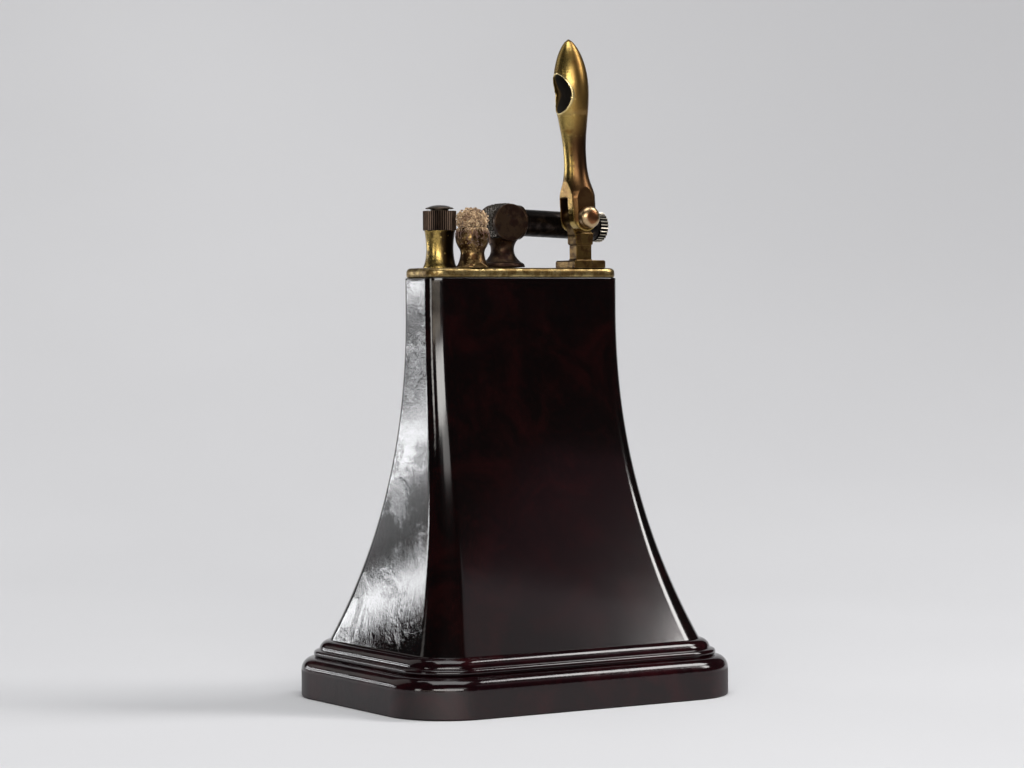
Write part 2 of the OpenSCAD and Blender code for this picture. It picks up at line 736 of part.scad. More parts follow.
module flint_spring() {
  sides = 6;
  steps = 8 * spring_curls;
  slope = atan(coil_pitch / (2 * PI * coil_r));
  points = [
    for (k = [0:steps], s = [0:sides - 1])
      let (
        a = 360 * k / 8,
        b = 360 * s / sides,
        out = coil_r + spring_wire_r * cos(b),
        side = -spring_wire_r * sin(b) * sin(slope),
        up = spring_wire_r * sin(b) * cos(slope)
      )
      [out * cos(a) - side * sin(a), out * sin(a) + side * cos(a), coil_pitch * k / 8 + up]
  ];
  faces = concat(
    [[for (s = [sides - 1:-1:0]) s]],
    [
      for (k = [0:steps - 1], s = [0:sides - 1])
        let (a = k * sides + s, b = k * sides + (s + 1) % sides)
        each [[a, b, a + sides], [b, b + sides, a + sides]]
    ],
    [[for (s = [0:sides - 1]) steps * sides + s]]
  );
  color([0.6, 0.6, 0.6]) along_tube(coil_from) polyhedron(points = points, faces = faces, convexity = 10);
}

module flint_screw() {
  tooth_h = 0.28;
  dimple_r = 1.1;
  dimple_h = 0.35;
  color([0.3, 0.26, 0.22]) {
    along_tube(spring_end) cylinder(h = screw_stem_len + 0.2, r = tube_bore_r - run_gap);
    along_tube(tube_reach + seat_gap) difference() {
      toothed_bar(knob_r, tooth_h, knob_teeth, knob_t);
      translate([0, 0, knob_t - dimple_h]) cylinder(h = cut, r = dimple_r);
    }
  }
}

// Pivot post

// Moves its children to the arm's pivot
module at_pivot(y) {
  translate([pivot_x, y, pivot_z]) children();
}

module pivot_post() {
  foot_x = pivot_x + post_offset;
  shank_top = pivot_h - fork_len / 2 - 0.35;
  foot_bevel = 0.25;
  foot_half = 1.65;
  top_half = 1.98;
  stop_x = 2.2;
  stop_z = slot_h - 0.25;
  color([0.6, 0.48, 0.26]) difference() {
    union() {
      translate([foot_x, -post_y, plate_z]) rotate([90, 0, 0])
        linear_extrude(post_foot_wid, center = true) polygon([
          [-post_foot_len / 2, 0], [post_foot_len / 2, 0],
          [post_foot_len / 2, post_foot_t - foot_bevel], [post_foot_len / 2 - foot_bevel, post_foot_t],
          [foot_bevel - post_foot_len / 2, post_foot_t], [-post_foot_len / 2, post_foot_t - foot_bevel]
        ]);
      translate([foot_x, -post_y, plate_z]) rotate([90, 0, 0])
        linear_extrude(shank_wid - 2 * shank_step, center = true) polygon([
          [-foot_half - 0.35, post_foot_t - 0.1], [-foot_half, post_foot_t + 0.3],
          [-foot_half, shank_ledge_h + 0.1], [foot_half, shank_ledge_h + 0.1],
          [foot_half, post_foot_t + 0.3], [foot_half + 0.35, post_foot_t - 0.1]
        ]);
      translate([foot_x, -post_y, plate_z]) rotate([90, 0, 0])
        linear_extrude(shank_wid, center = true) polygon([
          [-foot_half - shank_step, shank_ledge_h], [-top_half, shank_top],
          [top_half, shank_top], [foot_half + shank_step, shank_ledge_h]
        ]);
      at_pivot(-post_y) rotate([90, 0, 0]) linear_extrude(tongue_t, center = true) polygon(concat(
        [[post_offset - top_half, shank_top - pivot_h - 0.2]],
        arc(0, 0, tongue_r, 215, 70, 12),
        [
          [0.9, stop_z], [stop_x, stop_z], [stop_x, -1.2],
          [post_offset + top_half, shank_top - pivot_h - 0.2]
        ]
      ));
    }
    at_pivot(-post_y) rotate([90, 0, 0])
      cylinder(h = post_foot_wid, r = pivot_screw_r + run_gap, center = true);
  }
}

// Lift arm

fork_front_y = -arm_y - fork_wid / 2;
ogive_start = cup_reach + 1.2;
neck_start = 5;

// Radius of the turned arm at a distance from the pivot
function arm_radius(d) =
  d < arm_neck_reach ? arm_neck_r
    + arm_flare * pow((arm_neck_reach - d) / (arm_neck_reach - neck_start), 2.6)
  : d < ogive_start ? arm_neck_r + (arm_head_r - arm_neck_r)
    * (1 - cos(180 * (d - arm_neck_reach) / (ogive_start - arm_neck_reach))) / 2
  : arm_head_r * pow(max(0, 1 - pow((d - ogive_start) / (arm_len - ogive_start), 2)), 0.7);

// Outline of the snuffer's mouth, its long way along x
module mouth_outline(extra) {
  polygon([for (a = [0:8:352]) [(cup_half_len + extra) * cos(a), (cup_r + extra) * sin(a)]]);
}

// Cuts or fills the mouth from a given depth outwards
module through_mouth(depth, extra) {
  translate([depth, 0, cup_reach]) rotate([0, -90, 0])
    linear_extrude(2 * arm_head_r + depth) mouth_outline(extra);
}

// Half of the hollow's section; the floor rounds up into the walls
function hollow_points(r) = concat(
  [[0, 0], [r, 0]],
  arc(r - cup_floor_r, cup_depth - cup_floor_r, cup_floor_r, 0, 90, 8),
  [[0, cup_depth]]
);

// Long hollow behind the mouth, drawn out along the arm
module hollow() {
  r = cup_r - 0.14;
  stretch = 2 * (cup_half_len - cup_r);
  translate([0, 0, cup_reach]) rotate([0, 90, 0]) {
    for (s = [-1, 1]) translate([s * stretch / 2, 0, 0]) rotate_extrude() polygon(hollow_points(r));
    for (s = [0, 1]) mirror([0, s, 0]) rotate([90, 0, 90])
      linear_extrude(stretch, center = true) polygon(hollow_points(r));
  }
}

// Half of the turned arm's section from a distance on, thicker by an extra
function turned_points(from, extra, steps) = [
  for (k = [0:steps])
    let (d = from + (arm_len - from) * pow(k / steps, 0.9))
    [arm_radius(d) + extra * min(1, (arm_len - d) / 2), d]
];

// The arm upright, its pivot at the origin: a turned blank with four milled flats at its fork
module arm_form() {
  turned = 44;
  milled_top = 9;
  milled_low = 2 * fork_len;
  foot_r = fork_wid / 2 + 0.5;
  foot_top = slot_h + 0.1;
  difference() {
    union() {
      rotate_extrude() polygon(concat(
        [[0, -fork_len], [foot_r, -fork_len], [foot_r, foot_top], [foot_r - 0.1, foot_top + 0.5]],
        turned_points(neck_start, 0, turned)
      ));
      intersection() {
        rotate_extrude() polygon(concat(
          [[0, cup_reach - 6]],
          turned_points(cup_reach - 6, lip_h, 28)
        ));
        through_mouth(0, lip_w);
      }
    }
    for (side = [0, 180]) rotate([0, 0, side]) {
      translate([fork_len / 2, -fork_wid, -milled_low])
        cube([fork_wid, 2 * fork_wid, milled_low + milled_top]);
      translate([-fork_wid, fork_wid / 2, -milled_low])
        cube([2 * fork_wid, fork_wid, milled_low + milled_top]);
    }
    difference() {
      translate([-fork_len, -fork_wid, -2 * fork_len]) cube([2 * fork_len, 2 * fork_wid, 2 * fork_len]);
      rotate([90, 0, 0]) cylinder(h = 3 * fork_wid, r = fork_len / 2, center = true);
    }
    through_mouth(0.3, 0);
    hollow();
    translate([-fork_len, arm_y - post_y - slot_w / 2, -fork_len])
      cube([2 * fork_len, slot_w, fork_len + slot_h]);
    rotate([90, 0, 0]) cylinder(h = 3 * fork_wid, r = pivot_screw_r + seat_gap, center = true);
  }
}

module lift_arm() {
  color([0.62, 0.5, 0.27]) at_pivot(-arm_y) rotate([0, -arm_lean, 0]) arm_form();
}

module spring_washer() {
  color([0.5, 0.48, 0.42]) at_pivot(fork_front_y - seat_gap) rotate([90, 0, 0]) difference() {
    cylinder(h = washer_t, r = screw_head_r - 0.15);
    translate([0, 0, -cut]) cylinder(h = washer_t + 2 * cut, r = pivot_screw_r + run_gap);
  }
}

module pivot_screw() {
  rim_h = screw_head_h / 2 - 0.15;
  head_y = fork_front_y - washer_t - 2 * seat_gap;
  shank_len = fork_wid + washer_t;
  color([0.75, 0.6, 0.35]) at_pivot(head_y) rotate([90, 0, 0]) difference() {
    union() {
      translate([0, 0, -shank_len]) cylinder(h = shank_len + 0.1, r = pivot_screw_r);
      rotate_extrude() polygon(concat(
        [[0, 0], [screw_head_r - 0.1, 0], [screw_head_r, 0.1]],
        [
          for (a = [0:10:80])
            [screw_head_r * pow(cos(a), 0.8), rim_h + (screw_head_h - rim_h) * sin(a)]
        ],
        [[0, screw_head_h]]
      ));
    }
    translate([0, 0, -shank_len]) cube([2 * screw_head_r, 0.35, 0.7], center = true);
  }
}

body_shell();
base_plinth();
base_cover();
felt_pad();
tie_bolt();
top_plate();
fuel_tank();
tank_wadding();
filler_pillar();
filler_seal();
filler_cap();
cap_screw();
burner_pillar();
wick();
wheel_housing();
striker_wheel();
wheel_axle();
flint_tube();
flint();
flint_plunger();
flint_spring();
flint_screw();
pivot_post();
lift_arm();
pivot_screw();
spring_washer();
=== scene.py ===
import math
import random
import bmesh
import bpy
from mathutils import Matrix, Vector, noise


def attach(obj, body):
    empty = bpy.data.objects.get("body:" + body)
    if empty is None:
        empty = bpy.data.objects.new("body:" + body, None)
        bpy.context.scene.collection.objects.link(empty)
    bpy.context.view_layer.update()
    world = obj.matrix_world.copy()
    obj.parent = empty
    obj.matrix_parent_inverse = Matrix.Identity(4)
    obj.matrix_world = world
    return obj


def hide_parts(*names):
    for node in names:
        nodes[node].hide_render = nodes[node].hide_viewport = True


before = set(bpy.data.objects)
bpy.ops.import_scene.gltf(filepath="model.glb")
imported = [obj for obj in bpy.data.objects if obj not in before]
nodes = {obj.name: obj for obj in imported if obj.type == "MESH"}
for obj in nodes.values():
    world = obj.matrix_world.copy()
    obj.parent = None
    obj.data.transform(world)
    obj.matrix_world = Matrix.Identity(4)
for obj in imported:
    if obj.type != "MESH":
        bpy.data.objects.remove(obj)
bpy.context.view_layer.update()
scene = bpy.context.scene

# One millimetre in Blender's metres
MM = 0.001

# Sizes and places in millimetres, as in the part's own source, with angles in radians
BODY_TOP_Z = 77.0
BODY_TOP_LEN, BODY_TOP_WID = 41, 12
BODY_FLARE_LEN, BODY_FLARE_WID = 17.8, 32
FLARE_POWER_LEN, FLARE_POWER_WID = 2.55, 1.93
BODY_STRAIGHT = 6
BODY_CORNER, BODY_CORNER_FLARE = 3.1, 3.3
BODY_EDGE = 0.2
BODY_WALL, BODY_WALL_GROWTH = 1.3, 1.9
FOOT_HALF_LEN, FOOT_HALF_WID, FOOT_CORNER = 29.4, 22, 6.4

PLINTH_TOP_Z = 10.4
PLINTH_HALF_LEN, PLINTH_HALF_WID, PLINTH_CORNER = 35, 27, 12
PLINTH_EDGE = 0.3
STEP_SIDE_H, STEP_ROUND = 5, 2.3
BEAD_R = 0.62
COVE_R, COVE_STEP = 2, 1
PLINTH_WALL = 3.2
RECESS_H, RECESS_LIP, RECESS_GAP = 2.8, 2.2, 0.25

BURNER = Vector((-10.35, -3.2, 0.0))
FILLER_CAP = Vector((-13.4, 3.3, 85.75))
WHEEL = Vector((-0.35, 2.65, 87.3))
TUBE_RISE, TUBE_DROOP = 0.2, math.radians(2.2)
TUBE_LINE = Vector((math.cos(TUBE_DROOP), 0, -math.sin(TUBE_DROOP)))
PIVOT = Vector((12.7, -3.2, 88.15))
ARM_LEAN, CUP_REACH = math.radians(3.4), 23.05
ARM_LINE = Vector((-math.sin(ARM_LEAN), 0, math.cos(ARM_LEAN)))
CUP = PIVOT + ARM_LINE * CUP_REACH
CUP_HALF_WID, CUP_HALF_LEN = 2.74, 3.6

# The frame's axes
ALONG, ACROSS, UP = (1, 0, 0), (0, 1, 0), (0, 0, 1)


def make_camera():
    """The photograph's view, solved on the plinth, the body and the top plate.

    Returns the level directions ahead of the camera and to its side.
    """
    turn = math.radians(31.8824)
    dip = math.radians(1.249676)
    roll = math.radians(-0.417512)
    ahead = Vector((math.sin(turn), math.cos(turn), 0))
    side = Vector((math.cos(turn), -math.sin(turn), 0))
    rise = Vector(UP)
    look = ahead * math.cos(dip) - rise * math.sin(dip)
    over = rise * math.cos(dip) + ahead * math.sin(dip)
    right = side * math.cos(roll) + over * math.sin(roll)
    up = over * math.cos(roll) - side * math.sin(roll)
    data = bpy.data.cameras.new("camera")
    camera = bpy.data.objects.new("camera", data)
    scene.collection.objects.link(camera)
    matrix = Matrix((right, up, -look)).transposed().to_4x4()
    matrix.translation = (-550.885 * ahead - 0.0838 * side + 69.4561 * rise) * MM
    camera.matrix_world = matrix
    data.sensor_width = 36
    data.lens = 104.859
    data.clip_start = 0.02
    data.clip_end = 30
    scene.camera = camera
    return ahead, side


AHEAD, SIDE = make_camera()


# Materials
def add(tree, kind, inputs=None, **props):
    """A new node with its properties set and its inputs wired or given a value."""
    made = tree.nodes.new(kind)
    for key, value in props.items():
        setattr(made, key, value)
    for key, value in (inputs or {}).items():
        feed(tree, made.inputs[key], value)
    return made


def feed(tree, socket, value):
    if isinstance(value, bpy.types.NodeSocket):
        tree.links.new(value, socket)
    else:
        socket.default_value = value


def colour(rgb):
    """Screen values from 0 to 255 as the linear colour that a node takes."""
    linear = [v / 255 / 12.92 if v <= 10 else ((v / 255 + 0.055) / 1.055) ** 2.4 for v in rgb]
    return (*linear, 1.0)


class Recipe:
    """A material whose textures are laid out in millimetres of the part's frame.

    Colours are sockets, or plain screen values from 0 to 255.
    """

    SOCKETS = {"base": "Base Color", "metal": "Metallic", "rough": "Roughness",
               "normal": "Normal", "ior": "IOR", "sheen": "Sheen Weight"}

    def __init__(self, name):
        self.material = bpy.data.materials.new(name)
        self.material.use_nodes = True
        self.tree = self.material.node_tree
        self.tree.nodes.clear()
        out = add(self.tree, "ShaderNodeOutputMaterial")
        self.shader = add(self.tree, "ShaderNodeBsdfPrincipled")
        self.tree.links.new(self.shader.outputs[0], out.inputs["Surface"])
        self.place = add(self.tree, "ShaderNodeTexCoord").outputs["Object"]
        self.mm = self.stretch(1, 1, 1)

    def stretch(self, x, y, z):
        """Coordinates in millimetres; a factor below 1 draws a texture out along that axis."""
        scale = (x / MM, y / MM, z / MM)
        return add(self.tree, "ShaderNodeMapping", {"Vector": self.place, "Scale": scale}).outputs[0]

    def noise(self, scale, detail=4, rough=0.55, where=None, twist=0.0):
        return add(self.tree, "ShaderNodeTexNoise", {
            "Vector": where or self.mm, "Scale": scale, "Detail": detail, "Roughness": rough,
            "Distortion": twist,
        }).outputs["Fac"]

    def ramp(self, value, low, high, start=0.0, end=1.0):
        """A smooth step from start, where the value is low, to end, where it is high."""
        return add(self.tree, "ShaderNodeMapRange", {
            "Value": value, "From Min": low, "From Max": high, "To Min": start, "To Max": end,
        }, interpolation_type="SMOOTHSTEP").outputs[0]

    def mix(self, factor, a, b):
        a, b = (colour(c) if isinstance(c, tuple) else c for c in (a, b))
        return add(self.tree, "ShaderNodeMix", {0: factor, 6: a, 7: b}, data_type="RGBA").outputs[2]

    def math(self, operation, a, b=0.0, clamp=False):
        made = add(self.tree, "ShaderNodeMath", {0: a, 1: b}, operation=operation, use_clamp=clamp)
        return made.outputs[0]

    def times(self, value, *factors):
        for factor in factors:
            value = self.math("MULTIPLY", value, factor)
        return value

    def plus(self, a, b):
        return self.math("ADD", a, b)

    def vectors(self, operation, a, b=(0, 0, 0), output="Value"):
        return add(self.tree, "ShaderNodeVectorMath", {0: a, 1: b}, operation=operation).outputs[output]

    def bump(self, height, distance_mm, below=None):
        inputs = {"Height": height, "Distance": distance_mm * MM, "Strength": 1.0}
        if below is not None:
            inputs["Normal"] = below
        return add(self.tree, "ShaderNodeBump", inputs).outputs[0]

    def edge(self, low, high):
        return self.ramp(add(self.tree, "ShaderNodeNewGeometry").outputs["Pointiness"], low, high)

    def turned(self, direction):
        """How far the surface faces a fixed direction of the frame."""
        facing = add(self.tree, "ShaderNodeNewGeometry").outputs["Normal"]
        return self.vectors("DOT_PRODUCT", facing, direction)

    def off_axis(self, point, line):
        """Distance in millimetres from a line through a point."""
        offset = self.vectors("SUBTRACT", self.mm, point, "Vector")
        return self.vectors("LENGTH", self.vectors("CROSS_PRODUCT", offset, line, "Vector"))

    def along(self, point, line):
        """Distance in millimetres from a point, measured along a line."""
        offset = self.vectors("SUBTRACT", self.mm, point, "Vector")
        return self.vectors("DOT_PRODUCT", offset, line)

    def tint(self, factor, rgb):
        """Mix one more colour over the base colour that is already wired."""
        socket = self.shader.inputs["Base Color"]
        feed(self.tree, socket, self.mix(factor, socket.links[0].from_socket, rgb))
        return self

    def fade(self, factor, name, value):
        """Lead a number that is already wired towards a fixed one."""
        socket = self.shader.inputs[name]
        before = socket.links[0].from_socket
        made = add(self.tree, "ShaderNodeMix", {0: factor, 2: before, 3: value}, data_type="FLOAT")
        feed(self.tree, socket, made.outputs[0])

    def set(self, **values):
        for key, value in values.items():
            feed(self.tree, self.shader.inputs[self.SOCKETS[key]], value)
        return self


def aged_metal(name, bright, dull, grime, rough=0.28, tarnish=0.5, soot=0.35, cloud=0.55,
               edge=(0.5, 0.56), bump=0.006, specks=0.45, shade=0.0):
    """Metal that was bright once: cloudy tarnish, dark specks, dirt in the hollows, rubbed edges.

    A larger cloud makes smaller stains, edge is the range of pointiness that counts as rubbed, and shade is
    how far the right side is darkened as painted shade.
    """
    m = Recipe(name)
    tarnish_and_shade = m.ramp(m.noise(cloud, 4, 0.5, twist=0.3), 0.62 - tarnish * 0.4, 0.82 - tarnish * 0.3)
    patches = m.ramp(m.noise(cloud * 2.3, 6, 0.6, twist=0.4), 0.68 - soot * 0.35, 0.86 - soot * 0.2)
    dots = m.ramp(m.noise(3.6, 5, 0.7), 0.56, 0.68)
    fine = m.noise(14, 3, 0.6)
    if shade:
        # Painted shade: the right side is darkened towards the dull colour, standing in for the dark
        # surroundings it mirrors
        shaded_side = m.plus(m.turned((0.84, -0.5, -0.2)), m.times(m.noise(0.5, 4, 0.6, twist=0.5), 0.6))
        tarnish_and_shade = m.math("MAXIMUM", tarnish_and_shade, m.times(m.ramp(shaded_side, 0.05, 0.55), shade))
    tone = m.mix(tarnish_and_shade, bright, dull)
    if edge:
        rubbed = m.edge(*edge)
        hollow = m.edge(0.497, 0.45)
        tone = m.mix(m.times(rubbed, 0.85), tone, bright)
        patches = m.math("MAXIMUM", patches, m.times(hollow, 0.9))
    tone = m.mix(m.times(patches, 0.8), tone, grime)
    tone = m.mix(m.times(dots, specks), tone, grime)
    wear = m.plus(m.times(tarnish_and_shade, 0.10), m.times(patches, 0.22))
    wear = m.plus(wear, m.times(m.ramp(fine, 0.3, 0.7), 0.06))
    lines = m.noise(3, 2, 0.5, where=m.stretch(6, 6, 0.35))
    height = m.plus(m.times(fine, 0.5), m.times(lines, 0.5))
    return m.set(
        base=tone,
        metal=m.math("SUBTRACT", 1.0, m.times(patches, 0.35)),
        rough=m.math("ADD", wear, rough - 0.05, clamp=True),
        normal=m.bump(height, bump),
    )


def bakelite(name, deep, warm, haze, glow, ends_floor, ior, band=0.0):
    """Old dark bakelite: a mirror gloss, scuffed and streaked on its narrow ends.

    The wide faces have ends_floor of the scuffing, and band is the roughness of the plinth's low side.
    """
    m = Recipe(name)
    swirl = m.ramp(m.noise(0.09, 6, 0.65, twist=1.2), 0.45, 0.7)
    grain = m.ramp(m.noise(1.4, 5, 0.7), 0.45, 0.75)
    tone = m.mix(m.times(swirl, glow), deep, warm)
    tone = m.mix(m.times(grain, 0.2), tone, warm)
    ends = m.ramp(m.math("ABSOLUTE", m.turned(ALONG)), 0.6, 0.95, ends_floor, 1.0)
    patches = m.ramp(m.noise(0.11, 4, 0.6, twist=0.5), 0.46, 0.6)
    scuffs = m.noise(1.1, 8, 0.66, twist=0.4)
    streaks = m.noise(1.6, 4, 0.6, where=m.stretch(1, 1, 0.045))
    dust = m.ramp(m.noise(6, 4, 0.7), 0.5, 0.75)
    rough = m.plus(m.times(m.ramp(scuffs, 0.35, 0.7), haze), m.times(dust, 0.05))
    rough = m.plus(m.times(rough, m.plus(patches, 0.35)), 0.04)
    rough = m.plus(m.times(rough, ends), m.times(m.math("SUBTRACT", 1.0, ends), 0.13))
    if band:
        low = m.plus(m.along((0, 0, 0), UP), m.times(m.noise(0.8, 4, 0.6), 0.8))
        rough = m.math("MAXIMUM", rough, m.times(m.ramp(low, 5.9, 5.1), band))
    grit = m.noise(2.8, 4, 0.7)
    warp = m.math("SUBTRACT", 1.0, m.noise(0.14, 2, 0.4))
    scuffed = m.times(scuffs, m.times(m.plus(patches, 0.3), m.math("SUBTRACT", ends, 0.08)))
    normal = m.bump(warp, 0.024)
    normal = m.bump(scuffed, 0.022, normal)
    normal = m.bump(m.times(streaks, ends), 0.012, normal)
    normal = m.bump(m.times(grit, ends), 0.0045, normal)
    return m.set(base=tone, rough=rough, normal=normal, ior=ior)


def sooty_arm(name):
    """Brass arm: painted shade on its right side and, in brown-red, on the front of the neck and cheeks;
    the snuffer's lip rubbed and given a painted highlight on its near half; its hollow black with soot.
    """
    m = aged_metal(name, (176, 150, 86), (128, 95, 50), (66, 43, 26), rough=0.28, tarnish=0.28, soot=0.05,
                   cloud=0.3, edge=(0.51, 0.55), bump=0.003, specks=0.4, shade=0.8)
    height = m.along(PIVOT, ARM_LINE)
    neck = m.times(m.ramp(height, 1.5, 5.0), m.ramp(height, 19.5, 13.5))
    # Painted shade: surfaces facing the front are darkened, standing in for the dark room they mirror
    front = m.plus(m.turned((0.2, -0.95, 0.0)), m.times(m.noise(0.7, 4, 0.6, twist=0.6), 0.8))
    m.tint(m.times(neck, m.ramp(front, 0.6, 1.0), 0.92), (58, 35, 24))
    # Painted shade on the front of the fork's cheeks, as on the neck
    cheek = m.times(m.ramp(height, -2.2, -0.4), m.ramp(height, 7.0, 4.0))
    m.tint(m.times(cheek, m.ramp(front, 0.5, 0.9), 0.92), (50, 27, 15))
    shoulder = m.times(m.ramp(height, 0.5, 3.0), m.ramp(height, 9.5, 6.5))
    m.tint(m.times(shoulder, m.ramp(m.noise(0.5, 4, 0.6), 0.3, 0.6, 0.45, 0.8)), (112, 82, 52))
    # The lip is a ring around the hollow's oval, on the side of the arm that the hollow opens to
    mouth = (-ARM_LINE.z, 0, ARM_LINE.x)
    w = m.math("DIVIDE", m.along(CUP, ACROSS), CUP_HALF_WID)
    u = m.math("DIVIDE", m.along(CUP, ARM_LINE), CUP_HALF_LEN)
    oval = m.plus(m.times(w, w), m.times(u, u))
    lip = m.times(m.ramp(oval, 0.86, 0.96), m.ramp(oval, 1.24, 1.08))
    lip = m.times(lip, m.ramp(m.along(CUP, mouth), 0.0, 0.3))
    # Painted highlight: the lip's near half is painted pale, partly rubbed brass and partly light caught on
    # its edge
    m.tint(m.times(lip, m.ramp(w, 0.6, 0.2)), (228, 208, 152))
    inside = m.ramp(m.off_axis(CUP, ARM_LINE), 3.0, 2.72)
    soot = m.times(inside, m.ramp(m.vectors("DISTANCE", m.mm, CUP), 5.2, 4.4), 0.98)
    m.tint(soot, (8, 5, 4))
    m.fade(soot, "Roughness", 0.95)
    m.fade(soot, "Metallic", 0.0)
    return m


def rubbed_and_shaded_teeth(m, point, line, low, high, tip, below):
    """Knurled or toothed metal: painted shade in black between the teeth, and tips painted lighter, partly
    rubbed metal and partly painted highlight.
    """
    reach = m.off_axis(point, line)
    # Painted shade: black between the teeth
    m.tint(m.ramp(reach, high, low), below)
    # Painted highlight on the teeth's tips, over their rubbed metal
    return m.tint(m.times(m.ramp(reach, low, high), m.ramp(m.noise(0.9, 4, 0.6), 0.3, 0.6, 0.35, 1.0)), tip)


def screw_with_dark_centre(name):
    """Pivot screw: pale brass, its dome's centre painted brown as a painted dark reflection."""
    m = aged_metal(name, (176, 150, 114), (122, 90, 58), (68, 41, 26), rough=0.32, tarnish=0.35, soot=0.15,
                   cloud=0.5, edge=None, bump=0.004, specks=0.4)
    # Painted reflection: the dome's centre is painted brown, standing in for the dark room it mirrors
    reach = m.plus(m.off_axis(PIVOT, ACROSS), m.times(m.noise(0.9, 4, 0.6), 0.6))
    return m.tint(m.times(m.ramp(reach, 1.75, 1.3), 0.85), (112, 62, 34))


def plain_metal(name, pale, dark, rough, metal=1.0):
    m = Recipe(name)
    brushed = m.noise(6.0, 4, 0.6, where=m.stretch(0.2, 1.5, 1.5))
    spots = m.ramp(m.noise(1.1, 5, 0.6), 0.52, 0.68)
    return m.set(
        base=m.mix(spots, pale, dark), metal=metal,
        rough=m.plus(m.times(brushed, 0.2), rough),
        normal=m.bump(brushed, 0.01),
    )


def cotton(name, pale, dark, char):
    m = Recipe(name)
    strands = m.noise(2.2, 5, 0.7, where=m.stretch(1, 1, 0.4))
    patches = m.ramp(m.noise(0.8, 4, 0.6, twist=0.8), 0.47, 0.66)
    tone = m.mix(m.ramp(strands, 0.35, 0.65), dark, pale)
    tone = m.mix(m.times(patches, 0.75), tone, char)
    return m.set(base=tone, rough=0.92, sheen=0.25, normal=m.bump(strands, 0.08))


def wick_darker_below(name):
    """Cream threads, darker brown low down, where they hang over the burner."""
    m = cotton(name, (226, 196, 154), (108, 74, 46), (78, 46, 28))
    height = m.plus(m.along((0, 0, 85.9), UP), m.times(m.noise(0.8, 4, 0.6), 2.4))
    return m.tint(m.times(m.ramp(height, 1.6, 0.4), 0.85), (84, 46, 30))


def felt(name, pale, dark):
    m = Recipe(name)
    lint = m.noise(3, 6, 0.75)
    fibres = m.noise(9, 3, 0.6, where=m.stretch(0.3, 1, 1))
    tone = m.mix(m.ramp(lint, 0.35, 0.65), dark, pale)
    return m.set(base=tone, rough=0.95, sheen=0.4, normal=m.bump(m.plus(lint, fibres), 0.12))


def oiled_leather(name, pale, dark):
    m = Recipe(name)
    cells = add(m.tree, "ShaderNodeTexVoronoi", {"Vector": m.mm, "Scale": 4.0}).outputs["Distance"]
    return m.set(base=m.mix(m.ramp(cells, 0.1, 0.6), dark, pale), rough=0.6, normal=m.bump(cells, 0.05))
